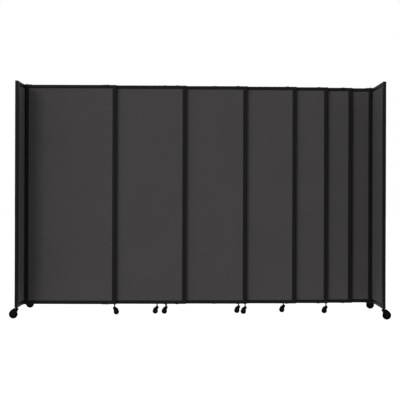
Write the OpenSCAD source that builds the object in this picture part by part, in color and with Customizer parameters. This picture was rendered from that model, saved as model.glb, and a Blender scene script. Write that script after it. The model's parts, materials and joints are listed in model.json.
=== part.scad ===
// Free-standing sliding partition wall: seven framed panels stand one behind
// the other, each guided on its neighbours by small glides, and the first and
// last panels are bolted to two cross end frames on casters.
// Millimetres. +X along the wall, +Y from the first panel towards the last, +Z up.
// The origin is on the floor under the middle of the wall.

/* [Overall] */
// Width of one panel
panel_w = 833; // [690:1:1010]
// Height of the frames' top edge above the floor
wall_h = 2081; // [1700:1:2500]
// Height of the frames' lower edge above the floor
floor_gap = 94; // [94:1:120]
// Depth of the two cross end frames
end_w = 833; // [690:1:1010]

/* [Frame bars] */
// Thickness of every frame, front to back
frame_t = 25.4; // [24:0.1:36]
// Face width of the upright bars
stile_w = 34; // [30:1:45]
// Face height of the cross bars
rail_h = 28; // [26:1:45]
// Wall thickness of the hollow bars
bar_wall = 2.5; // [1.5:0.1:3]
// Clear gap between one panel and the next
panel_gap = 7.6; // [3:0.1:10]
// Thickness of the fabric-covered board
board_t = 16; // [8:1:18]

/* [Resting stagger] */
// How far panel 2 stands to the right of panel 1
shift_2 = 634; // [0:1:635]
// How far panel 3 stands to the right of panel 2
shift_3 = 553; // [0:1:635]
// How far panel 4 stands to the right of panel 3
shift_4 = 454; // [0:1:635]
// How far panel 5 stands to the right of panel 4
shift_5 = 294; // [0:1:635]
// How far panel 6 stands to the right of panel 5
shift_6 = 228; // [0:1:635]
// How far panel 7 stands to the right of panel 6
shift_7 = 192; // [0:1:635]

/* [Glides and tracks] */
// Distance from a panel's end to the middle of its glides
glide_inset = 84; // [80:0.5:120]
// Length of a glide
glide_l = 29.6; // [20:0.1:50]
// Thickness of a glide's plate
glide_t = 3; // [2:0.5:5]
// Width of the track grooves in the cross bars
track_w = 5; // [4:0.5:6]
// Depth of the track grooves
track_d = 8; // [6:0.5:9]

/* [Casters] */
// Diameter of the end frames' wheels
big_wheel_d = 76; // [60:1:77]
// Tread width of the end frames' wheels
big_wheel_w = 24; // [16:1:32]
// Trail of the end frames' casters
big_trail = 26; // [16:1:34]
// Gap between the end frames and the heads of their casters
big_head_gap = 3; // [2:0.5:4.5]
// Diameter of the end frames' caster stems
big_stem_d = 10; // [8:0.5:12]
// Diameter of the panels' wheels
small_wheel_d = 50; // [36:1:54]
// Tread width of the panels' wheels
small_wheel_w = 18; // [12:1:20]
// Trail of the panels' casters
small_trail = 16; // [10:1:20]
// Gap between the panels and the heads of their casters
small_head_gap = 23; // [20:1:28]
// Diameter of the panels' caster stems
small_stem_d = 11; // [6:0.5:12]
// Distance from a panel's end to its caster stem
stem_inset = 14; // [12:0.5:17]

/* [Hidden] */
$fn = 64;

// Cutters run this far past the faces that they cut
cut = 1;

panels = [1, 2, 3, 4, 5, 6, 7];
last = 7;
sides = ["left", "right"];
// The casters under the panels, by panel and place, and those at the end frames' corners
panel_casters = [
  [1, "right"], [3, "left"], [3, "inner"], [3, "right"], [5, "left"], [5, "right"], [7, "left"]
];
corner_casters = [["left", "front"], ["left", "back"], ["right", "front"], ["right", "back"]];
function panel_caster_name(c) = str("panel_", c[0], "_", c[1], "_caster");
function corner_caster_name(c) = str(c[0], "_", c[1], "_caster");

frame_h = wall_h - floor_gap;
pitch = frame_t + panel_gap;
// Two glides meet, and stop the pull, at this stagger
stop_gap = 0.4;
reach = panel_w - 2 * glide_inset - glide_l - stop_gap;
shifts = [for (s = [0, shift_2, shift_3, shift_4, shift_5, shift_6, shift_7]) min(s, reach)];
function total(v, n) = n < 0 ? 0 : v[n] + total(v, n - 1);
wall_l = total(shifts, last - 1) + panel_w;
function left_of(k) = total(shifts, k - 1) - wall_l / 2;
function right_of(k) = left_of(k) + panel_w;
function depth_of(k) = (k - (last + 1) / 2) * pitch;

// The board stands in grooves inside the bars
board_groove = 8;
board_in_stile = 10;
board_slack = 1;
// A cross bar's hollow lies between the tracks and the board's groove
web_t = 2;
hollow_z = track_d + web_t;
hollow_h = rail_h - board_groove - web_t - hollow_z;
track_y = frame_t / 4;

// Glides
glide_lift = 0.5;
tongue_w = track_w - 1;
tongue_h = track_d - 2;
glide_past = 2;

// End frames stand just clear of the panels' ends
end_gap = 1;
end_x = wall_l / 2 + end_gap + frame_t / 2;
end_stem_y = end_w / 2 - stile_w / 2;

// Brackets and bolts
bracket_t = 3;
bracket_w = 24;
bracket_on_panel = 60;
bolt_d = 6;
bolt_hole_d = 6.4;
bolt_head_d = 13;
bolt_head_h = 5;
bolt_l = 18;
bolt_in_panel = stile_w / 2;
// The end frames' own bolts end just short of their holes
end_hole_h = hollow_z + web_t;
end_bolt_l = end_hole_h - 1;

// Caster stems stand in plugs inside the uprights
plug_h = 36;
stem_in = 28;
bore_deep = 30;
stem_play = 0.1;
// The inner caster of panel 3 hangs from a boss under its glide, clear of its neighbour's swing
swing_gap = 1;
inner_stem_x = stem_inset + 2 * (small_trail + small_wheel_d / 2) + swing_gap;
inner_stem_y = -5;
boss_d = 18;
boss_h = 14;
boss_roof = 2;

// Swivel races, and how far a fork's crown and hood reach back from the stem and the axle
big_swivel_r = 18.5;
big_crown_back = 24;
big_hood_r = 39.5;
small_swivel_r = 15.5;
small_crown_back = 21;
small_hood_r = 29;
// The rest is alike in both sizes
head_r = 11;
fork_side_gap = 1.2;
over_wheel = 8;
hood_angle = 50;
// Shares of a wheel's diameter
cheek_share = 1 / 30;
crown_share = 1 / 15;
axle_boss_share = 1 / 8;
axle_share = 1 / 9;
dish_share = 0.68;
hub_share = 0.3;

frame_colour = [0.10, 0.10, 0.10];
board_colour = [0.25, 0.25, 0.25];
glide_colour = [0.05, 0.05, 0.05];
fork_colour = [0.06, 0.06, 0.06];
wheel_colour = [0.03, 0.03, 0.03];
bolt_colour = [0.2, 0.2, 0.2];

// An upright bar, its outer edge on x = 0 and its body towards +x.
// A hollow runs up its outer half, and the board's groove up its inner edge.
module stile() {
  translate([0, 0, floor_gap]) linear_extrude(frame_h) difference() {
    translate([0, -frame_t / 2]) square([stile_w, frame_t]);
    translate([bar_wall, bar_wall - frame_t / 2])
      square([stile_w - board_in_stile - 2 * bar_wall, frame_t - 2 * bar_wall]);
    translate([stile_w - board_in_stile, -board_t / 2]) square([board_in_stile + cut, board_t]);
  }
}

// The plug that fills a bar's hollow next to one end
module plug(h) {
  translate([bar_wall, bar_wall - frame_t / 2, 0])
    cube([stile_w - board_in_stile - 2 * bar_wall, frame_t - 2 * bar_wall, h]);
}

// An upright with a plug and a stem bore at its foot
module caster_stile(inset, stem_d) {
  difference() {
    union() {
      stile();
      translate([0, 0, floor_gap]) plug(plug_h);
    }
    translate([inset, 0, floor_gap - cut]) cylinder(d = stem_d + 2 * stem_play, h = bore_deep + cut);
  }
}

// An upright with a plug and a bolt hole at its foot and at its top
module bolted_stile() {
  difference() {
    union() {
      stile();
      translate([0, 0, floor_gap]) plug(plug_h);
      translate([0, 0, wall_h - plug_h]) plug(plug_h);
    }
    for (z = [floor_gap - cut, wall_h - bore_deep])
      translate([bolt_in_panel, 0, z]) cylinder(d = bolt_hole_d, h = bore_deep + cut);
  }
}

// A cross bar's section: its outer edge on y = 0, its body towards +y
module rail_section(tracks) {
  difference() {
    translate([-frame_t / 2, 0]) square([frame_t, rail_h]);
    translate([-board_t / 2, rail_h - board_groove]) square([board_t, board_groove + cut]);
    translate([bar_wall - frame_t / 2, hollow_z]) square([frame_t - 2 * bar_wall, hollow_h]);
    if (tracks) for (y = [-track_y, track_y])
      translate([y - track_w / 2, -cut]) square([track_w, track_d + cut]);
  }
}

// A lower cross bar between two uprights of a frame of width w that starts at x = 0
module lower_rail(w, tracks) {
  translate([stile_w, 0, floor_gap]) rotate([90, 0, 90])
    linear_extrude(w - 2 * stile_w) rail_section(tracks);
}

// The same bar turned over, along the top
module flip_to_top() {
  translate([0, 0, wall_h + floor_gap]) mirror([0, 0, 1]) children();
}

// The fabric-covered board of a frame of width w that starts at x = 0
module board(w) {
  side = stile_w - board_in_stile + board_slack;
  foot = floor_gap + rail_h - board_groove;
  color(board_colour) translate([side, -board_t / 2, foot])
    cube([w - 2 * side, board_t, wall_h - rail_h + board_groove - board_slack - foot]);
}

function has_caster(k, place) = len([for (c = panel_casters) if (c == [k, place]) c]) > 0;

module panel_stiles(k) {
  color(frame_colour) translate([left_of(k), depth_of(k), 0]) {
    if (k == 1) bolted_stile();
    else if (has_caster(k, "left")) caster_stile(stem_inset, small_stem_d);
    else stile();
    translate([panel_w, 0, 0]) mirror([1, 0, 0]) {
      if (k == last) bolted_stile();
      else if (has_caster(k, "right")) caster_stile(stem_inset, small_stem_d);
      else stile();
    }
  }
}

module panel_rails(k) {
  color(frame_colour) translate([left_of(k), depth_of(k), 0]) {
    lower_rail(panel_w, true);
    flip_to_top() lower_rail(panel_w, true);
  }
}

module panel_board(k) {
  translate([left_of(k), depth_of(k), 0]) board(panel_w);
}

// A lower glide about x = 0: a plate under its own bar with a tongue in the next panel's track
module lower_glide() {
  plate_z = floor_gap - glide_lift - glide_t;
  translate([-glide_l / 2, -glide_past, plate_z])
    cube([glide_l, glide_past + pitch - track_y + tongue_w / 2, glide_t]);
  translate([-glide_l / 2, -glide_past, plate_z])
    cube([glide_l, frame_t / 2 + glide_past, glide_t + glide_lift]);
  translate([-glide_l / 2, pitch - track_y - tongue_w / 2, plate_z])
    cube([glide_l, tongue_w, glide_t + glide_lift + tongue_h]);
}

module glide_pair() {
  lower_glide();
  flip_to_top() lower_glide();
}

// The boss that holds the inner caster of panel 3, under that panel's left lower glide
module caster_boss() {
  slab_z = floor_gap - glide_lift - glide_t - glide_lift;
  boss_x = inner_stem_x - glide_inset;
  // The slab under the glide reaches the boss wherever the glide stands
  slab_from = min(-glide_l / 2, boss_x);
  slab_to = max(glide_l / 2, boss_x);
  difference() {
    union() {
      translate([slab_from, -pitch + track_y - tongue_w / 2, slab_z])
        cube([slab_to - slab_from, pitch - track_y + tongue_w / 2 + glide_past, glide_lift]);
      translate([boss_x, inner_stem_y, slab_z - boss_h]) cylinder(d = boss_d, h = boss_h);
    }
    translate([boss_x, inner_stem_y, slab_z - boss_h - cut])
      cylinder(d = small_stem_d + 2 * stem_play, h = boss_h - boss_roof + cut);
  }
}

module panel_glides(k) {
  color(glide_colour) translate([0, depth_of(k), 0]) {
    if (k < last) translate([right_of(k) - glide_inset, 0, 0]) glide_pair();
    if (k > 1) translate([left_of(k) + glide_inset, 0, 0]) {
      mirror([0, 1, 0]) glide_pair();
      if (has_caster(k, "inner")) caster_boss();
    }
  }
}

// Turns a frame that runs from x = 0 to x = end_w so that it runs along Y at x = end_x * side
module along_y(side) {
  translate([side * end_x, -end_w / 2, 0]) rotate([0, 0, 90]) children();
}

module end_stiles(side) {
  color(frame_colour) along_y(side) {
    caster_stile(stile_w / 2, big_stem_d);
    translate([end_w, 0, 0]) mirror([1, 0, 0]) caster_stile(stile_w / 2, big_stem_d);
  }
}

module end_rails(side) {
  color(frame_colour) difference() {
    along_y(side) {
      lower_rail(end_w, false);
      flip_to_top() lower_rail(end_w, false);
    }
    for (z = [floor_gap - cut, wall_h - end_hole_h])
      translate([side * end_x, joined_y(side), z]) cylinder(d = bolt_hole_d, h = end_hole_h + cut);
  }
}

module end_board(side) {
  along_y(side) board(end_w);
}

// Depth at which an end frame is joined to its panel
function joined_y(side) = depth_of(side < 0 ? 1 : last);

// Bolt places from the end frame's middle, towards the panels
function bolt_places() = [0, frame_t / 2 + end_gap + bolt_in_panel];

module end_brackets(side) {
  bracket_l = frame_t + end_gap + bracket_on_panel;
  color(frame_colour) translate([side * end_x, joined_y(side), 0])
    for (z = [floor_gap - bracket_t, wall_h]) difference() {
      translate([side < 0 ? -frame_t / 2 : frame_t / 2 - bracket_l, -bracket_w / 2, z])
        cube([bracket_l, bracket_w, bracket_t]);
      for (x = bolt_places()) translate([-side * x, 0, z - cut])
        cylinder(d = bolt_hole_d, h = bracket_t + 2 * cut);
    }
}

// A bolt that reaches the given length into the bar under its bracket
module upper_bolt(length) {
  translate([0, 0, wall_h + bracket_t]) cylinder(d = bolt_head_d, h = bolt_head_h, $fn = 6);
  translate([0, 0, wall_h - length]) cylinder(d = bolt_d, h = length + bracket_t + cut);
}

module end_bolts(side) {
  lengths = [end_bolt_l, bolt_l];
  color(bolt_colour) translate([side * end_x, joined_y(side), 0])
    for (i = [0, 1]) translate([-side * bolt_places()[i], 0, 0]) {
      upper_bolt(lengths[i]);
      flip_to_top() upper_bolt(lengths[i]);
    }
}

// A cheek's outline in x and z: from the crown over the wheel's shoulder to the axle's boss
module cheek_outline(wheel_d, trail, swivel_r, crown_back, hood_r, crown_z, crown_top) {
  wheel_r = wheel_d / 2;
  boss_r = wheel_d * axle_boss_share;
  translate([trail, wheel_r]) circle(boss_r);
  polygon([
    [-swivel_r, crown_top], [crown_back, crown_top],
    [trail + hood_r * cos(hood_angle), wheel_r + hood_r * sin(hood_angle)],
    [trail + boss_r, wheel_r], [trail - boss_r, wheel_r],
    [-swivel_r / 2, (crown_z + wheel_r) / 2]
  ]);
}

// A caster fork about its stem, trailing towards +x, with its axle
module fork(wheel_d, wheel_w, trail, stem_d, head_gap, swivel_r, crown_back, hood_r, stem_top) {
  cheek_t = wheel_d * cheek_share;
  crown_z = wheel_d + over_wheel;
  crown_top = crown_z + wheel_d * crown_share;
  head_top = floor_gap - head_gap;
  cheek_y = wheel_w / 2 + fork_side_gap;
  outer_y = cheek_y + cheek_t;
  color(fork_colour) {
    translate([0, 0, crown_z]) cylinder(d = stem_d, h = stem_top - crown_z);
    translate([0, 0, crown_z]) cylinder(r = swivel_r, h = (crown_top + head_top) / 2 - crown_z);
    translate([0, -outer_y, crown_z]) cube([crown_back, 2 * outer_y, crown_top - crown_z]);
    translate([0, 0, crown_z]) cylinder(r = head_r, h = head_top - crown_z);
    for (y = [-cheek_y, outer_y]) translate([0, y, 0]) rotate([90, 0, 0])
      linear_extrude(cheek_t)
        cheek_outline(wheel_d, trail, swivel_r, crown_back, hood_r, crown_z, crown_top);
    translate([trail, outer_y, wheel_d / 2]) rotate([90, 0, 0])
      cylinder(d = wheel_d * axle_share, h = 2 * outer_y);
  }
}

// A wheel with a bored hub, dished sides and rounded shoulders
module wheel(wheel_d, wheel_w, trail) {
  shoulder = wheel_w / 5;
  recess = wheel_w / 8;
  color(wheel_colour) translate([trail, 0, wheel_d / 2]) rotate([90, 0, 0]) difference() {
    rotate_extrude() {
      translate([0, -wheel_w / 2]) square([wheel_d / 2 - shoulder, wheel_w]);
      translate([0, shoulder - wheel_w / 2]) square([wheel_d / 2, wheel_w - 2 * shoulder]);
      for (y = [shoulder - wheel_w / 2, wheel_w / 2 - shoulder])
        translate([wheel_d / 2 - shoulder, y]) circle(shoulder);
    }
    for (z = [-wheel_w / 2 - cut, wheel_w / 2 - recess]) translate([0, 0, z]) difference() {
      cylinder(d = wheel_d * dish_share, h = recess + cut);
      translate([0, 0, -cut]) cylinder(d = wheel_d * hub_share, h = recess + 3 * cut);
    }
    translate([0, 0, -wheel_w]) cylinder(d = wheel_d * axle_share + stem_play, h = 2 * wheel_w);
  }
}

// Moves a panel's caster to its stem; only the first panel's trails to the right
module at_panel(c) {
  k = c[0];
  from_left = c[1] == "inner" ? inner_stem_x : stem_inset;
  x = c[1] == "right" ? right_of(k) - stem_inset : left_of(k) + from_left;
  y = depth_of(k) + (c[1] == "inner" ? inner_stem_y : 0);
  translate([x, y, 0]) mirror([k == 1 ? 0 : 1, 0, 0]) children();
}

module panel_fork(c) {
  boss_top = floor_gap - 2 * glide_lift - glide_t;
  stem_top = c[1] == "inner" ? boss_top - boss_roof - stem_play : floor_gap + stem_in;
  at_panel(c)
    fork(small_wheel_d, small_wheel_w, small_trail, small_stem_d, small_head_gap,
      small_swivel_r, small_crown_back, small_hood_r, stem_top);
}

module panel_wheel(c) {
  at_panel(c) wheel(small_wheel_d, small_wheel_w, small_trail);
}

// Moves an end frame's caster to its corner, trailing outwards
module at_corner(c) {
  y_side = c[1] == "front" ? -1 : 1;
  mirror([c[0] == "left" ? 1 : 0, 0, 0]) translate([end_x, y_side * end_stem_y, 0]) children();
}

module corner_fork(c) {
  at_corner(c)
    fork(big_wheel_d, big_wheel_w, big_trail, big_stem_d, big_head_gap,
      big_swivel_r, big_crown_back, big_hood_r, floor_gap + stem_in);
}

module corner_wheel(c) {
  at_corner(c) wheel(big_wheel_d, big_wheel_w, big_trail);
}

for (k = panels) {
  panel_stiles(k);
  panel_rails(k);
  panel_board(k);
  panel_glides(k);
}
for (s = sides) {
  side = s == "left" ? -1 : 1;
  end_stiles(side);
  end_rails(side);
  end_board(side);
  end_brackets(side);
  end_bolts(side);
}
for (c = panel_casters) {
  name = panel_caster_name(c);
  panel_fork(c);
  panel_wheel(c);
}
for (c = corner_casters) {
  name = corner_caster_name(c);
  corner_fork(c);
  corner_wheel(c);
}
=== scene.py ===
import json
import bpy
import numpy as np
from math import radians
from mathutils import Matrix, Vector


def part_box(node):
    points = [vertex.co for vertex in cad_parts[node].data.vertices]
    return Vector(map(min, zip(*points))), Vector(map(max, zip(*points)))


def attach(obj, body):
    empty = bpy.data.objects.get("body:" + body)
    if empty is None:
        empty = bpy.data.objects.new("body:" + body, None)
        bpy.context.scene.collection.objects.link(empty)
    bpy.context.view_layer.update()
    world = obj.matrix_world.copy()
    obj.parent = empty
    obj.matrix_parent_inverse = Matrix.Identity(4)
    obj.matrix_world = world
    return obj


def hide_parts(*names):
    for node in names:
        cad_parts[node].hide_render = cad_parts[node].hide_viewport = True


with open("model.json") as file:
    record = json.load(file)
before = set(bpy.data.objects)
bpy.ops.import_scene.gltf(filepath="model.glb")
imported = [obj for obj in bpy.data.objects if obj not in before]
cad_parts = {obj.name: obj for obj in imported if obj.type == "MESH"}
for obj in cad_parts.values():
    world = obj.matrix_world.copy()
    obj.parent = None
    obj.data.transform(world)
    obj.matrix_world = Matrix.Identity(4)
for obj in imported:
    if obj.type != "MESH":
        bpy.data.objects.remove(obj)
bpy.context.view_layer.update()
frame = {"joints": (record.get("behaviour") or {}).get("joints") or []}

# Sizes of the detail, in metres. Places come from the frame.
MM = 0.001
PANELS = range(1, 8)
BAR_ROUND = 1.3 * MM  # rounding of the bars' long edges
CUT_BEVEL = 0.4 * MM  # break on the bars' cut ends
CAP_T = 1.6 * MM  # end caps of the uprights
BOARD_ROLL = 2.5 * MM  # the cloth's turn round the board's edge
BOARD_CROWN = 0.5 * MM  # how far the cloth stands proud in the middle
TRACK_W = 5 * MM
TRACK_D = 8 * MM
GLIDE_L = 29.6 * MM
GLIDE_T = 3 * MM
GLIDE_LIFT = 0.5 * MM
BOARD_GROOVE = 8 * MM
BOARD_SLACK = 1 * MM  # between a board's edge and the foot of its groove
BRACKET_T = 3 * MM
BOLT_HEAD_R = 6.5 * MM
STEM_IN = 28 * MM  # how far the casters' stems stand in the uprights
BOSS_H = 14 * MM  # the boss of the inner caster, under its panel's glide
BOSS_R = 9 * MM
HOOD_ANGLE = 50  # where the casters' hoods end, in degrees up from level
FORK_GAP = 1.2 * MM  # between a wheel and its fork's cheeks
OVER_WHEEL = 8 * MM  # between a wheel and its fork's crown
HEAD_R = 11 * MM  # the bearing cups over the casters' swivel races
# Casters: stem radius, gap over the bearing cup, radius of the swivel race, and how far the
# crown and the hood reach back from the stem and the axle
BIG = dict(stem_r=5 * MM, head_gap=3 * MM, swivel_r=18.5 * MM, back=24 * MM, hood_r=39.5 * MM)
SMALL = dict(stem_r=5.5 * MM, head_gap=23 * MM, swivel_r=15.5 * MM, back=21 * MM, hood_r=29 * MM)
X, Y, Z = np.eye(3)


# ---------------------------------------------------------------- surfaces

def quads(rows, cols, wrap_rows=False, wrap_cols=False):
    """Quads between neighbours of a rows by cols grid of points, numbered row by row."""
    i = np.arange(rows if wrap_rows else rows - 1)[:, None]
    j = np.arange(cols if wrap_cols else cols - 1)[None, :]
    i, j = np.broadcast_arrays(i, j)
    up, right = (i + 1) % rows, (j + 1) % cols
    corners = [i * cols + j, i * cols + right, up * cols + right, up * cols + j]
    return np.stack(corners, -1).reshape(-1, 4).tolist()


def join(*solids):
    """Several (points, faces) shapes as one."""
    points, faces, count = [], [], 0
    for p, f in solids:
        points.append(p)
        faces += [[v + count for v in face] for face in f]
        count += len(p)
    return np.concatenate(points), faces


def placed(solid, origin, x=X, y=Y, z=Z):
    """The shape with its own x, y and z laid along the given directions, from the origin given.
    A mirrored set of directions turns the faces over again, so that they still point outwards."""
    axes = np.array([x, y, z], float)
    faces = solid[1]
    if np.linalg.det(axes) < 0:
        faces = [f[::-1] for f in faces]
    return solid[0] @ axes + np.asarray(origin, float), faces


def rounded(corners, steps=5):
    """A closed outline through corners (x, y, radius), each turned by an arc of its radius.
    The arc's centre is on the corner's bisector, at radius / sin(half the corner's angle)."""
    pts = np.array([c[:2] for c in corners], float)
    out = []
    for i, (x, y, radius) in enumerate(corners):
        p = pts[i]
        if radius <= 0:
            out.append(p[None])
            continue
        back, on = pts[i - 1] - p, pts[(i + 1) % len(pts)] - p
        back, on = back / np.linalg.norm(back), on / np.linalg.norm(on)
        half = np.arccos(np.clip(back @ on, -1, 1)) / 2
        mid = (back + on) / np.linalg.norm(back + on)
        centre = p + mid * radius / np.sin(half)
        reach = radius / np.tan(half)
        first, end = p + back * reach - centre, p + on * reach - centre
        a0 = np.arctan2(first[1], first[0])
        turn = (np.arctan2(end[1], end[0]) - a0 + np.pi) % (2 * np.pi) - np.pi
        a = a0 + turn * np.linspace(0, 1, steps)
        out.append(centre + radius * np.stack([np.cos(a), np.sin(a)], 1))
    return np.concatenate(out)


def rectangle(x0, x1, y0, y1, radius):
    """A rectangle's outline with round corners, counter-clockwise."""
    return rounded([(x0, y0, radius), (x1, y0, radius), (x1, y1, radius), (x0, y1, radius)])


def prism(outline, z0, z1, bevel=CUT_BEVEL):
    """A counter-clockwise outline carried along z from z0 to z1.
    The outline is drawn in by bevel, along its own normals, at both ends."""
    run = np.roll(outline, -1, 0) - np.roll(outline, 1, 0)
    normal = np.stack([run[:, 1], -run[:, 0]], 1)
    normal /= np.linalg.norm(normal, axis=1)[:, None]
    drawn = np.array([bevel, 0, 0, bevel])[:, None, None]
    heights = np.array([z0, z0 + bevel, z1 - bevel, z1])
    flat = outline[None] - drawn * normal[None]
    n = len(outline)
    points = np.concatenate([flat, np.broadcast_to(heights[:, None, None], (4, n, 1))], 2)
    faces = quads(4, n, wrap_cols=True)
    return points.reshape(-1, 3), faces + [list(range(n))[::-1], list(range(3 * n, 4 * n))]


def lathe(profile, segments=32, closed=False):
    """A profile of (radius, height) turned about z: point = (r cos a, r sin a, h).
    An open profile starts and ends on the axis, where one point closes it."""
    profile = np.array(profile, float)
    ring = profile if closed else profile[1:-1]
    a = np.arange(segments) * 2 * np.pi / segments
    r, h = ring[:, 0, None], ring[:, 1, None]
    points = np.stack([r * np.cos(a), r * np.sin(a), h + 0 * a], -1).reshape(-1, 3)
    faces = quads(len(ring), segments, wrap_rows=closed, wrap_cols=True)
    if closed:
        return points, faces
    foot, top = len(points), len(points) + 1
    points = np.concatenate([points, [[0, 0, profile[0, 1]], [0, 0, profile[-1, 1]]]])
    j, nxt = np.arange(segments), (np.arange(segments) + 1) % segments
    last = (len(ring) - 1) * segments
    faces += np.stack([np.full(segments, foot), nxt, j], 1).tolist()
    faces += np.stack([np.full(segments, top), last + j, last + nxt], 1).tolist()
    return points, faces


def loop_bead(profile, width, height):
    """A closed bead round a rectangle in the x, z plane: at each corner the profile's points
    (outward, y) are set out along the diagonal, so the four straight runs meet in mitres."""
    profile = np.array(profile, float)
    sx = np.array([-1, 1, 1, -1])[:, None]
    sz = np.array([-1, -1, 1, 1])[:, None]
    out, y = profile[None, :, 0], profile[None, :, 1]
    points = np.stack([sx * (width / 2 + out), y + 0 * sx, sz * (height / 2 + out)], -1)
    faces = quads(4, len(profile), wrap_rows=True, wrap_cols=True)
    return points.reshape(-1, 3), [f[::-1] for f in faces]


def wrapped_board(width, height, thickness):
    """A cloth-covered board in the x, z plane, as two height fields over one grid.
    With d the distance to the nearest edge, the depth rises along a quarter circle of the roll's
    radius, and then by a crown that settles as 1 - exp(-d / 30 mm). A strip joins the two rims."""
    near = BOARD_ROLL * np.array([0, 0.08, 0.3, 0.62, 1, 2, 5, 9])
    lines = []
    for size, count in ((width, 15), (height, 33)):
        inner = np.linspace(near[-1], size - near[-1], count)[1:-1]
        lines.append(np.concatenate([near, inner, size - near[::-1]]))
    u, v = np.meshgrid(*lines, indexing="ij")
    d = np.minimum(np.minimum(u, width - u), np.minimum(v, height - v))
    turn = 1 - np.clip(d / BOARD_ROLL, 0, 1)
    rise = BOARD_ROLL * np.sqrt(1 - turn ** 2)
    crown = BOARD_CROWN * (1 - np.exp(-np.maximum(d - BOARD_ROLL, 0) / (30 * MM)))
    depth = thickness / 2 - BOARD_ROLL + rise + crown
    x, z = u - width / 2, v - height / 2
    rows, cols = u.shape
    front = np.stack([x, -depth, z], -1).reshape(-1, 3)
    back = np.stack([x, depth, z], -1).reshape(-1, 3)
    face = quads(rows, cols)
    index = np.arange(rows * cols).reshape(rows, cols)
    rim = np.concatenate([index[:-1, 0], index[-1, :-1], index[:0:-1, -1], index[0, :0:-1]])
    nxt = np.roll(rim, -1)
    count = rows * cols
    strip = np.stack([rim, rim + count, nxt + count, nxt], 1).tolist()
    faces = [f[::-1] for f in face] + [[v + count for v in f] for f in face] + strip
    return np.concatenate([front, back]), faces


def piece(name, solid, material, body, node=None, smooth_under=40):
    """Puts a shape into the scene: smooth across edges flatter than smooth_under degrees."""
    mesh = bpy.data.meshes.new(name)
    mesh.from_pydata(solid[0].tolist(), [], solid[1])
    mesh.validate()
    mesh.materials.append(material)
    made = bpy.data.objects.new(name, mesh)
    bpy.context.scene.collection.objects.link(made)
    mesh.shade_smooth()
    mesh.set_sharp_from_angle(angle=radians(smooth_under))
    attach(made, body)
    if node:
        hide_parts(node)
    return made


# --------------------------------------------------------------- materials

class Finish:
    """A material with one Principled shader, and short calls for the nodes that feed it."""

    def __init__(self, name, colour, roughness, **sockets):
        self.material = bpy.data.materials.new(name)
        self.material.use_nodes = True
        self.nodes = self.material.node_tree.nodes
        self.links = self.material.node_tree.links
        self.shader = self.nodes["Principled BSDF"]
        self.colour = colour
        self.set("Base Color", (*colour, 1))
        self.set("Roughness", roughness)
        for socket, value in sockets.items():
            self.set(socket.replace("_", " "), value)
        self.place = self.node("ShaderNodeTexCoord").outputs["Object"]

    def set(self, socket, value):
        self.shader.inputs[socket].default_value = value

    def node(self, kind, **settings):
        made = self.nodes.new(kind)
        for key, value in settings.items():
            if hasattr(made, key):
                setattr(made, key, value)
            else:
                made.inputs[key].default_value = value
        return made

    def noise(self, scale, detail=2.0, stretch=None):
        made = self.node("ShaderNodeTexNoise", Scale=scale, Detail=detail)
        source = self.place
        if stretch:
            mapping = self.node("ShaderNodeMapping", Scale=stretch)
            self.links.new(source, mapping.inputs["Vector"])
            source = mapping.outputs["Vector"]
        self.links.new(source, made.inputs["Vector"])
        return made.outputs["Fac"]

    def threads(self, axis, pitch):
        """Round threads side by side along one axis, one every pitch metres."""
        made = self.node("ShaderNodeTexWave", bands_direction=axis, Scale=0.314 / pitch)
        made.inputs["Distortion"].default_value = 1.5
        made.inputs["Detail Scale"].default_value = 2.0
        self.links.new(self.place, made.inputs["Vector"])
        return made.outputs["Fac"]

    def math(self, operation, a, b):
        made = self.node("ShaderNodeMath", operation=operation)
        for value, socket in ((a, made.inputs[0]), (b, made.inputs[1])):
            if isinstance(value, (int, float)):
                socket.default_value = value
            else:
                self.links.new(value, socket)
        return made.outputs["Value"]

    def span(self, value, low, high, start=0.3, end=0.7):
        """The value's run from start to end laid out from low to high."""
        made = self.node("ShaderNodeMapRange")
        for key, number in (("From Min", start), ("From Max", end), ("To Min", low), ("To Max", high)):
            made.inputs[key].default_value = number
        self.links.new(value, made.inputs["Value"])
        return made.outputs["Result"]

    def tint(self, *factors):
        """The base colour, multiplied by each factor."""
        total = factors[0]
        for factor in factors[1:]:
            total = self.math("MULTIPLY", total, factor)
        made = self.node("ShaderNodeVectorMath", operation="SCALE")
        made.inputs[0].default_value = self.colour
        self.links.new(total, made.inputs["Scale"])
        self.links.new(made.outputs["Vector"], self.shader.inputs["Base Color"])

    def rough(self, value):
        self.links.new(value, self.shader.inputs["Roughness"])

    def bump(self, height, depth, strength=1.0):
        made = self.node("ShaderNodeBump", Strength=strength, Distance=depth)
        self.links.new(height, made.inputs["Height"])
        self.links.new(made.outputs["Normal"], self.shader.inputs["Normal"])


def cloth(name, across):
    """Charcoal panel cloth: a plain weave of thick and thin threads, and a slight mottle.
    Warp and weft threads are multiplied to make the basket-like surface."""
    f = Finish(name, (0.0378, 0.0354, 0.0362), 0.95, Sheen_Weight=0.02, Sheen_Roughness=0.6,
               Specular_IOR_Level=0.05)
    warp, weft = f.threads(across, 1.1 * MM), f.threads("Z", 0.9 * MM)
    weave = f.math("MULTIPLY", warp, weft)
    slub = f.noise(900, 3.0, stretch=(1, 1, 0.25))
    mottle = f.noise(60, 4.0)
    cloud = f.noise(2.5, 2.0)
    f.tint(f.span(weave, 0.82, 1.14, 0, 1), f.span(slub, 0.85, 1.15), f.span(mottle, 0.95, 1.05),
           f.span(cloud, 0.97, 1.03))
    f.bump(f.math("ADD", weave, f.math("MULTIPLY", slub, 0.5)), 0.25 * MM, 0.5)
    return f.material


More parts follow.
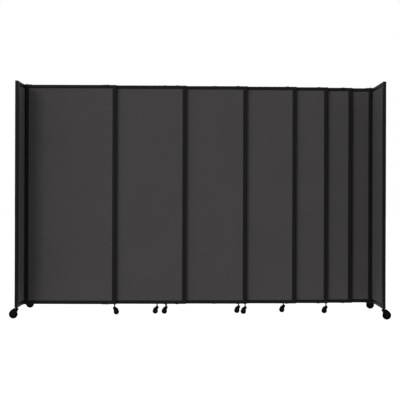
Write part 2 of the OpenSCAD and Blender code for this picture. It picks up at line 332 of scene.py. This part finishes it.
def powder_coat():
    """Black powder coat on the aluminium bars: a fine orange-peel skin, a little dulled in patches."""
    f = Finish("powder_coat", (0.0036, 0.0036, 0.0038), 0.5, Specular_IOR_Level=0.05)
    peel, patch = f.noise(1400, 2.0), f.noise(14, 4.0)
    f.tint(f.span(patch, 0.9, 1.12), f.span(peel, 0.94, 1.06))
    f.rough(f.span(patch, 0.44, 0.58))
    f.bump(peel, 0.06 * MM, 0.5)
    return f.material


def moulded_black(name, grey, roughness, grain=2200, gloss=0.05):
    """Black moulded plastic or rubber with a fine spark-eroded grain."""
    f = Finish(name, (grey, grey, grey * 1.04), roughness, Specular_IOR_Level=gloss)
    texture, bloom = f.noise(grain, 2.0), f.noise(35, 3.0)
    f.tint(f.span(bloom, 0.88, 1.15), f.span(texture, 0.93, 1.07))
    f.rough(f.span(bloom, roughness - 0.06, roughness + 0.08))
    f.bump(texture, 0.05 * MM, 0.6)
    return f.material


def blackened_steel(name, grey, roughness=0.36, gloss=0.05):
    """Black zinc-plated pressed steel: faint drawing lines and handled patches."""
    f = Finish(name, (grey, grey, grey * 1.05), roughness, Specular_IOR_Level=gloss)
    lines, patch = f.noise(500, 2.0, stretch=(1, 1, 0.08)), f.noise(55, 4.0)
    f.tint(f.span(patch, 0.8, 1.3), f.span(lines, 0.92, 1.1))
    f.rough(f.span(patch, roughness - 0.07, roughness + 0.12))
    f.bump(lines, 0.03 * MM, 0.4)
    return f.material


def tread_rubber():
    """Black wheel rubber, greyed a little by floor dust."""
    f = Finish("tread_rubber", (0.001, 0.001, 0.001), 0.75, Specular_IOR_Level=0.01)
    dust, scuff = f.noise(90, 5.0), f.noise(700, 2.0)
    f.tint(f.span(dust, 0.8, 1.8, 0.45, 0.8), f.span(scuff, 0.9, 1.15))
    f.rough(f.span(dust, 0.68, 0.85))
    f.bump(scuff, 0.08 * MM, 0.5)
    return f.material


COAT = powder_coat()
CLOTH_X = cloth("cloth_front", "X")
CLOTH_Y = cloth("cloth_ends", "Y")
GASKET = moulded_black("gasket_rubber", 0.006, 0.7)
PLASTIC = moulded_black("cap_plastic", 0.009, 0.5)
NYLON = moulded_black("glide_nylon", 0.007, 0.45, 1500)
HUB = moulded_black("hub_plastic", 0.0018, 0.42, gloss=0.025)
PLATE = blackened_steel("bracket_plate", 0.005, 0.42)
STEEL = blackened_steel("caster_steel", 0.0014, 0.36, 0.025)
SCREW = blackened_steel("screw_steel", 0.006, 0.3)
RUBBER = tread_rubber()


# ------------------------------------------------------------------ panels

def stile_outline(width, thick, board, groove):
    """An upright's section, outer edge on x = 0: round outer edges, board groove on the inner side."""
    h, b, r = thick / 2, board / 2, BAR_ROUND
    return rounded([
        (0, -h, r), (width, -h, r * 0.7), (width, -b, r * 0.5), (width - groove, -b, 0),
        (width - groove, b, 0), (width, b, r * 0.5), (width, h, r * 0.7), (0, h, r)])


def rail_outline(height, thick, board, tracks):
    """A cross bar's section, outer edge on y = 0: track grooves outside, board groove inside."""
    h, b, r = thick / 2, board / 2, BAR_ROUND
    outside = [(-h, 0, r)]
    if tracks:
        for at in (-thick / 4, thick / 4):
            x0, x1 = at - TRACK_W / 2, at + TRACK_W / 2
            outside += [(x0, 0, r * 0.4), (x0, TRACK_D, 0), (x1, TRACK_D, 0), (x1, 0, r * 0.4)]
    return rounded(outside + [
        (h, 0, r), (h, height, r * 0.7), (b, height, r * 0.5), (b, height - BOARD_GROOVE, 0),
        (-b, height - BOARD_GROOVE, 0), (-b, height, r * 0.5), (-h, height, r * 0.7)])


def screw_head(radius, height):
    """A low domed screw head about z, its dome a quarter of a circle stretched to the height,
    with a six-sided socket's round lead-in."""
    a = np.linspace(0, np.pi / 2, 6)
    dome = [(radius * (0.42 + 0.58 * np.cos(t)), height * np.sin(t)) for t in a]
    return lathe([(0, -0.3 * MM), (radius, -0.3 * MM), *dome, (radius * 0.36, height * 0.5),
                  (0, height * 0.4)], 16)


def frame_pieces(name, width, thick, z0, z1, stile_w, rail_h, board_t, board_in, tracks, put, body):
    """Bars, end caps and gasket beads of one frame, built with x from 0 to width and
    y = 0 at mid-thickness, and set down by put(solid)."""
    upright = prism(stile_outline(stile_w, thick, board_t, board_in), z0 + CAP_T, z1 - CAP_T)
    mirrored = dict(origin=(width, 0, 0), x=-X)
    stiles = join(upright, placed(upright, **mirrored))
    cap = rectangle(0.3 * MM, stile_w - 0.3 * MM, -thick / 2 + 0.3 * MM, thick / 2 - 0.3 * MM, BAR_ROUND)
    caps = [prism(cap, z0, z0 + CAP_T), prism(cap, z1 - CAP_T, z1)]
    caps = join(*caps, *[placed(c, **mirrored) for c in caps])
    bar = prism(rail_outline(rail_h, thick, board_t, tracks), stile_w, width - stile_w)
    low = placed(bar, (0, 0, z0), Y, Z, X)
    high = placed(bar, (0, 0, z1), Y, -Z, X)
    lip = [(0, 0), (0, -1.2 * MM), (-0.6 * MM, -2.2 * MM), (-1.6 * MM, -2.4 * MM),
           (-2.6 * MM, -1.6 * MM), (-3 * MM, 0)]
    inner = (width - 2 * stile_w, z1 - z0 - 2 * rail_h)
    bead = loop_bead([(o, y - board_t / 2) for o, y in lip], *inner)
    middle = (width / 2, 0, (z0 + z1) / 2)
    beads = join(placed(bead, middle), placed(bead, middle, y=-Y))
    piece(f"{name}_bars", put(stiles), COAT, body, f"{name}_stiles")
    piece(f"{name}_cross_bars", put(join(low, high)), COAT, body, f"{name}_rails")
    piece(f"{name}_end_caps", put(caps), PLASTIC, body)
    piece(f"{name}_gasket", put(beads), GASKET, body)


def corner_screws(x, facing, z0, z1, rail_h):
    """Two screws a corner, up the outer edge of an upright at x, their heads facing +x or -x."""
    head = screw_head(3.2 * MM, 0.7 * MM)
    heights = [z0 + rail_h * 0.28, z0 + rail_h * 0.72, z1 - rail_h * 0.28, z1 - rail_h * 0.72]
    return [placed(head, (x, 0, z), Y, Z * facing, X * facing) for z in heights]


def cloth_board(name, node, centre, width, height, thick, material, body, **axes):
    """The wrapped board that stands for a node, about the centre given."""
    board = wrapped_board(width, height, thick)
    piece(name, placed(board, centre, **axes), material, body, node)


def panel(k):
    """One sliding panel, from the boxes of its own nodes."""
    name, body = f"panel_{k}", f"panel_{k}"
    low, high = (np.array(c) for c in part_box(f"{name}_stiles"))
    rail_low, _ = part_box(f"{name}_rails")
    board_low, board_high = (np.array(c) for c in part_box(f"{name}_board"))
    width, thick, z0, z1 = high[0] - low[0], high[1] - low[1], low[2], high[2]
    stile_w, rail_h = rail_low[0] - low[0], board_low[2] - z0 + BOARD_GROOVE
    board_t = board_high[1] - board_low[1]
    board_in = low[0] + stile_w - board_low[0] + BOARD_SLACK
    mid_y = (low[1] + high[1]) / 2

    def put(solid):
        return placed(solid, (low[0], mid_y, 0))

    frame_pieces(name, width, thick, z0, z1, stile_w, rail_h, board_t, board_in, True, put, body)
    screws = []
    if k > PANELS[0]:
        screws += corner_screws(0, -1, z0, z1, rail_h)
    if k < PANELS[-1]:
        screws += corner_screws(width, 1, z0, z1, rail_h)
    piece(f"{name}_screws", put(join(*screws)), SCREW, body)
    cloth_board(f"{name}_cloth_board", f"{name}_board", (board_low + board_high) / 2,
                board_high[0] - board_low[0], board_high[2] - board_low[2], board_t, CLOTH_X, body)


def end_frame(side, body):
    """A cross end frame: the same bars without tracks, turned to run along y."""
    low, high = (np.array(c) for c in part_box(f"{side}_end_stiles"))
    rail_low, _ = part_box(f"{side}_end_rails")
    board_low, board_high = (np.array(c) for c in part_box(f"{side}_end_board"))
    width, thick, z0, z1 = high[1] - low[1], high[0] - low[0], low[2], high[2]
    stile_w, rail_h = rail_low[1] - low[1], board_low[2] - z0 + BOARD_GROOVE
    board_t = board_high[0] - board_low[0]
    board_in = low[1] + stile_w - board_low[1] + BOARD_SLACK
    mid_x = (low[0] + high[0]) / 2

    def put(solid):
        return placed(solid, (mid_x, low[1], 0), Y, -X, Z)

    name = f"{side}_end"
    frame_pieces(name, width, thick, z0, z1, stile_w, rail_h, board_t, board_in, False, put, body)
    screws = corner_screws(0, -1, z0, z1, rail_h) + corner_screws(width, 1, z0, z1, rail_h)
    piece(f"{name}_screws", put(join(*screws)), SCREW, body)
    cloth_board(f"{name}_cloth_board", f"{name}_board", (board_low + board_high) / 2,
                board_high[1] - board_low[1], board_high[2] - board_low[2], board_t,
                CLOTH_Y, body, x=Y, y=-X)


# ------------------------------------------------------- glides and brackets

def glide(thick, pitch):
    """A lower glide about x = 0, its own bar's lower face on z = 0 and the next bar towards +y."""
    tongue_w, tongue_h = TRACK_W - 1 * MM, TRACK_D - 2 * MM
    past, half = 2 * MM, GLIDE_L / 2
    reach = pitch - thick / 4 + tongue_w / 2
    under = -GLIDE_LIFT
    plate = prism(rectangle(-half, half, -past, reach, 3 * MM), under - GLIDE_T, under, 0.6 * MM)
    pad = prism(rectangle(-half + 1 * MM, half - 1 * MM, -past, thick / 2, 2 * MM), under, 0, 0.1 * MM)
    tongue = prism(rectangle(-half, half, reach - tongue_w, reach, 1.6 * MM), under, tongue_h, 0.6 * MM)
    screw = placed(screw_head(4 * MM, 1.3 * MM), (0, 6 * MM, under - GLIDE_T), X, -Y, -Z)
    return join(plate, pad, tongue), screw


def panel_glides(k, thick, pitch):
    """The glides of one panel: forward ones near its left end, backward ones near its right end."""
    low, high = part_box(f"panel_{k}_glides")
    bar_low, bar_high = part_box(f"panel_{k}_rails")
    mid_y = (bar_low[1] + bar_high[1]) / 2
    body, screw = glide(thick, pitch)
    ends = []
    if k < PANELS[-1]:
        ends.append((high[0] - GLIDE_L / 2, Y))
    if k > PANELS[0]:
        ends.append((low[0] + GLIDE_L / 2, -Y))
    spots = [(x, y, z, up) for x, y in ends for z, up in ((bar_low[2], Z), (bar_high[2], -Z))]
    bodies = [placed(body, (x, mid_y, z), X, y, up) for x, y, z, up in spots]
    screws = [placed(screw, (x, mid_y, z), X, y, up) for x, y, z, up in spots]
    piece(f"panel_{k}_glide_blocks", join(*bodies), NYLON, f"panel_{k}", f"panel_{k}_glides")
    piece(f"panel_{k}_glide_screws", join(*screws), SCREW, f"panel_{k}")


def hexagon(across_flats):
    """A regular hexagon's corners, counter-clockwise."""
    a = radians(30) + np.arange(6) * np.pi / 3
    return across_flats / 2 / np.cos(np.pi / 6) * np.stack([np.cos(a), np.sin(a)], 1)


def brackets(side, body):
    """The plates over and under the joint of an end frame and its panel, with washers and bolts."""
    low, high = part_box(f"{side}_brackets")
    bolt_low, bolt_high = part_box(f"{side}_bolts")
    plate = rectangle(low[0], high[0], low[1], high[1], 4 * MM)
    plates = [prism(plate, high[2] - BRACKET_T, high[2], 0.6 * MM),
              prism(plate, low[2], low[2] + BRACKET_T, 0.6 * MM)]
    washer = lathe([(0, 0), (7.5 * MM, 0), (7.5 * MM, 0.9 * MM), (7 * MM, 1.2 * MM), (0, 1.2 * MM)], 28)
    head = prism(hexagon(11.3 * MM), 1.2 * MM, 5 * MM, 0.5 * MM)
    dome = lathe([(0, 4.9 * MM), (4.6 * MM, 4.9 * MM), (4.2 * MM, 5.3 * MM), (0, 5.4 * MM)], 20)
    bolt = join(washer, head, dome)
    mid_y = (low[1] + high[1]) / 2
    bolts = []
    for x in (bolt_low[0] + BOLT_HEAD_R, bolt_high[0] - BOLT_HEAD_R):
        bolts.append(placed(bolt, (x, mid_y, high[2])))
        bolts.append(placed(bolt, (x, mid_y, low[2]), X, -Y, -Z))
    piece(f"{side}_bracket_plates", join(*plates), PLATE, body, f"{side}_brackets")
    piece(f"{side}_bracket_bolts", join(*bolts), SCREW, body, f"{side}_bolts")


# ----------------------------------------------------------------- casters

def arc(centre, radius, start, end, steps):
    """Points of a circle from one angle to another, in degrees."""
    a = np.radians(np.linspace(start, end, steps))
    return [(centre[0] + radius * np.cos(t), centre[1] + radius * np.sin(t)) for t in a]


def bow(start, pull, end, steps=9):
    """Points of the curve (1 - t)^2 start + 2 t (1 - t) pull + t^2 end, t from 0 up to 1."""
    t = np.linspace(0, 1, steps)[:-1, None]
    a, b, c = (np.array(p) for p in (start, pull, end))
    return ((1 - t) ** 2 * a + 2 * t * (1 - t) * b + t ** 2 * c).tolist()


def cheek_outline(r, trail, front, back, hood_end, crown_z, crown_top):
    """A fork's cheek in x and z: the crown's edge over the stem, a boss round the axle, two bowed
    edges, and a straight hood edge from the crown over the wheel's shoulder."""
    boss = arc((trail, r), r * 0.27, 215, 345, 10)
    points = [(front, crown_top)]
    points += bow((front, crown_z - 0.1 * r), (front * 0.35, r * 1.32), boss[0])
    points += boss
    points += bow(boss[-1], (trail + r * 0.5, r * 1.25), hood_end)[1:]
    return np.array(points + [hood_end, (back, crown_top)])


def fork_solid(r, wheel_w, trail, size, head_z, stem_top, nut_z):
    """Pressed fork about its stem, trailing towards +x: cheeks, crown, hood, swivel race, bearing
    cup, stem and lock nut. The hood ends hood_r from the axle, at the hood's angle."""
    d, stem_r, swivel_r, back = 2 * r, size["stem_r"], size["swivel_r"], size["back"]
    slope = radians(HOOD_ANGLE)
    hood_end = np.array((trail, r)) + size["hood_r"] * np.array((np.cos(slope), np.sin(slope)))
    front = -swivel_r * 0.94
    cheek_t, crown_z = d / 30, d + OVER_WHEEL
    crown_top = crown_z + d / 15
    side = wheel_w / 2 + FORK_GAP
    outline = cheek_outline(r, trail, front, back, hood_end, crown_z, crown_top)
    cheek = prism(outline, side, side + cheek_t, 0.3 * MM)
    cheeks = [placed(cheek, (0, 0, 0), X, Z, -Y), placed(cheek, (0, 0, 0), X, Z, Y)]
    crown = prism(rectangle(front, back, -side - cheek_t, side + cheek_t, 2 * MM),
                  crown_z, crown_top, 0.4 * MM)
    top_end = np.array((back, crown_top))
    run = hood_end - top_end
    inward = np.array((run[1], -run[0])) / np.hypot(*run) * cheek_t * 0.9
    band = np.array([top_end, top_end + inward, hood_end + inward, hood_end])
    hood = placed(prism(band, -side - 0.2 * MM, side + 0.2 * MM, 0.1 * MM), (0, 0, 0), X, Z, -Y)
    h0, h1 = crown_top, head_z
    lip, turn = (h0 + h1) / 2, min(0.8 * MM, (h1 - h0) / 5)
    head = lathe([(0, crown_z), (swivel_r - 0.6 * MM, crown_z), (swivel_r, crown_z + 0.6 * MM),
                  (swivel_r, lip - turn), (swivel_r - turn, lip), (HEAD_R + turn, lip),
                  (HEAD_R, lip + turn), (HEAD_R, h1 - turn), (HEAD_R - turn, h1), (0, h1)], 40)
    stem = lathe([(0, h1 - 1 * MM), (stem_r, h1 - 1 * MM), (stem_r, stem_top - 1 * MM),
                  (stem_r * 0.8, stem_top), (0, stem_top)], 24)
    nut_h = min(stem_r * 0.9, (nut_z - head_z) * 0.5)
    nut = prism(hexagon(stem_r * 3.1), nut_z - nut_h, nut_z, 0.4 * MM)
    return join(*cheeks, crown, hood, head, stem, nut)


def axle_solid(r, wheel_w, trail):
    """The axle bolt: a shaft through the wheel, a domed head on one side and a nut on the other."""
    d = 2 * r
    side = wheel_w / 2 + FORK_GAP + d / 30
    a = d / 18
    shaft = lathe([(0, -side), (a, -side), (a, side), (0, side)], 20)
    head = placed(screw_head(a * 1.7, a * 0.75), (0, 0, side))
    nut = placed(prism(hexagon(a * 3.2), 0, a * 0.9, 0.3 * MM), (0, 0, -side), X, -Y, -Z)
    return placed(join(shaft, head, nut), (trail, 0, r), X, Z, -Y)


def tyre_solid(r, width):
    """The tread: a closed section turned about the axle, its face a flattened curve
    x = (w/2) cos t, y = shoulder sin(t) ** 0.5 standing on the rim."""
    rim, shoulder = r * 0.74, r * 0.14
    t = np.linspace(0, np.pi, 15)
    face = np.stack([r - shoulder + shoulder * np.sin(t) ** 0.5, -width / 2 * np.cos(t)], 1)
    sides = [(rim, -width / 2 + 0.6 * MM), (r * 0.8, -width / 2), (r - shoulder, -width / 2)]
    profile = sides[:2] + face.tolist() + [(r * 0.8, width / 2), (rim, width / 2 - 0.6 * MM)]
    return lathe(profile, 48, closed=True)


def hub_solid(r, width):
    """The hub: rim, dished web and boss, turned about the axle, with ribs between boss and rim."""
    rim, boss, bore, web = r * 0.745, r * 0.3, r * 0.115, width * 0.16
    w = width / 2
    half = [(bore, w - 0.5 * MM), (boss, w - 0.5 * MM), (boss, w - 1.2 * MM), (boss * 1.05, web),
            (rim * 0.86, web), (rim * 0.9, w - 1.4 * MM), (rim, w - 1 * MM)]
    profile = [(a, -b) for a, b in half] + half[::-1]
    hub = lathe(profile, 48, closed=True)
    rib = prism(rectangle(boss * 0.95, rim * 0.88, -0.7 * MM, 0.7 * MM, 0.3 * MM),
                -w + 2 * MM, w - 2 * MM, 0.2 * MM)
    turns = np.arange(8) * np.pi / 4
    ribs = [placed(rib, (0, 0, 0), np.cos(t) * X + np.sin(t) * Y, np.cos(t) * Y - np.sin(t) * X)
            for t in turns]
    return join(hub, *ribs)


def caster(name, size, floor_gap, nut_z, stem_top):
    """One caster of the given size, placed by its swivel and roll joints."""
    joints = {j["name"]: j for j in frame["joints"]}
    stem_at = np.array(joints[f"{name}_swivel"]["pos_m"])
    axle_at = np.array(joints[f"{name}_roll"]["pos_m"])
    low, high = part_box(f"{name}_caster_wheel")
    width, r = high[1] - low[1], axle_at[2]
    trail = abs(axle_at[0] - stem_at[0])
    ahead = X * np.sign(axle_at[0] - stem_at[0])
    foot = (stem_at[0], stem_at[1], 0)
    fork = fork_solid(r, width, trail, size, floor_gap - size["head_gap"], stem_top, nut_z)
    fork_body, wheel_body = f"{name}_caster_fork", f"{name}_caster_wheel"
    piece(f"{name}_fork", placed(fork, foot, ahead), STEEL, fork_body, fork_body)
    axle = axle_solid(r, width, trail)
    piece(f"{name}_axle", placed(axle, foot, ahead), SCREW, fork_body)
    about = dict(origin=axle_at, x=X, y=-Z, z=Y)
    piece(f"{name}_tyre", placed(tyre_solid(r, width), **about), RUBBER, wheel_body,
          wheel_body, 50)
    piece(f"{name}_hub", placed(hub_solid(r, width), **about), HUB, wheel_body)


def casters():
    """The four big casters at the corners, the six small ones under uprights, and the inner one."""
    floor_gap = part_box("panel_1_stiles")[0][2]
    for corner in ("left_front", "left_back", "right_front", "right_back"):
        caster(corner, BIG, floor_gap, floor_gap, floor_gap + STEM_IN)
    for spot in ("panel_1_right", "panel_3_left", "panel_3_right", "panel_5_left",
                 "panel_5_right", "panel_7_left"):
        caster(spot, SMALL, floor_gap, floor_gap, floor_gap + STEM_IN)
    # The inner caster hangs from a boss under its panel's left glide
    boss_top = floor_gap - GLIDE_T - 2 * GLIDE_LIFT
    boss_foot = boss_top - BOSS_H
    caster("panel_3_inner", SMALL, floor_gap, boss_foot, boss_top - 2.2 * MM)
    stem = next(j for j in frame["joints"] if j["name"] == "panel_3_inner_swivel")["pos_m"]
    boss = lathe([(0, 0), (BOSS_R - 0.6 * MM, 0), (BOSS_R, 0.6 * MM), (BOSS_R, BOSS_H), (0, BOSS_H)],
                 32)
    piece("panel_3_caster_boss", placed(boss, (stem[0], stem[1], boss_foot)), NYLON, "panel_3")


# ------------------------------------------------------------ build it all

for number in PANELS:
    panel(number)
end_frame("left", "panel_1")
end_frame("right", f"panel_{PANELS[-1]}")
bar_low, bar_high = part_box("panel_1_stiles")
next_low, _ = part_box("panel_2_stiles")
for number in PANELS:
    panel_glides(number, bar_high[1] - bar_low[1], next_low[1] - bar_low[1])
brackets("left", "panel_1")
brackets("right", f"panel_{PANELS[-1]}")
casters()


# ---------------------------------------------------- camera, light, stage

def camera():
    """A long lens at chest height, square to the panels, rolled by a sixth of a degree."""
    lens = bpy.data.cameras.new("camera")
    lens.lens, lens.sensor_width = 83.47, 36
    lens.shift_x, lens.shift_y = -0.0012, -0.0056
    lens.clip_start, lens.clip_end = 0.1, 100
    made = bpy.data.objects.new("camera", lens)
    made.location = (0.001, -8.513, 1.061)
    made.rotation_euler = (radians(90), -0.0030, 0)
    bpy.context.scene.collection.objects.link(made)
    bpy.context.scene.camera = made


def soft_light(name, place, aim, size, power):
    """A square soft box that points at aim."""
    lamp = bpy.data.lights.new(name, "AREA")
    lamp.shape, lamp.size, lamp.energy = "SQUARE", size, power
    made = bpy.data.objects.new(name, lamp)
    made.location = place
    made.rotation_euler = (Vector(aim) - Vector(place)).to_track_quat("-Z", "Y").to_euler()
    bpy.context.scene.collection.objects.link(made)


def studio():
    """A white room: even sky, a large soft key from the front left, and a pale floor that glows
    a little, so that it stays as plain as the backdrop."""
    scene = bpy.context.scene
    scene.view_settings.view_transform = "Standard"
    scene.world = bpy.data.worlds.new("studio")
    scene.world.use_nodes = True
    sky = scene.world.node_tree.nodes["Background"]
    sky.inputs["Color"].default_value = (1, 1, 1, 1)
    sky.inputs["Strength"].default_value = 1.0
    soft_light("key", (-19, -39.5, 12), (0, 0, 1.1), 12, 11000)
    half = 40.0
    mesh = bpy.data.meshes.new("floor")
    mesh.from_pydata([(-half, -half, 0), (half, -half, 0), (half, half, 0), (-half, half, 0)], [],
                     [(0, 1, 2, 3)])
    floor = bpy.data.objects.new("floor", mesh)
    finish = Finish("floor_paint", (0.1, 0.1, 0.1), 0.9, Emission_Color=(1, 1, 1, 1),
                    Emission_Strength=0.95)
    mesh.materials.append(finish.material)
    scene.collection.objects.link(floor)


camera()
studio()
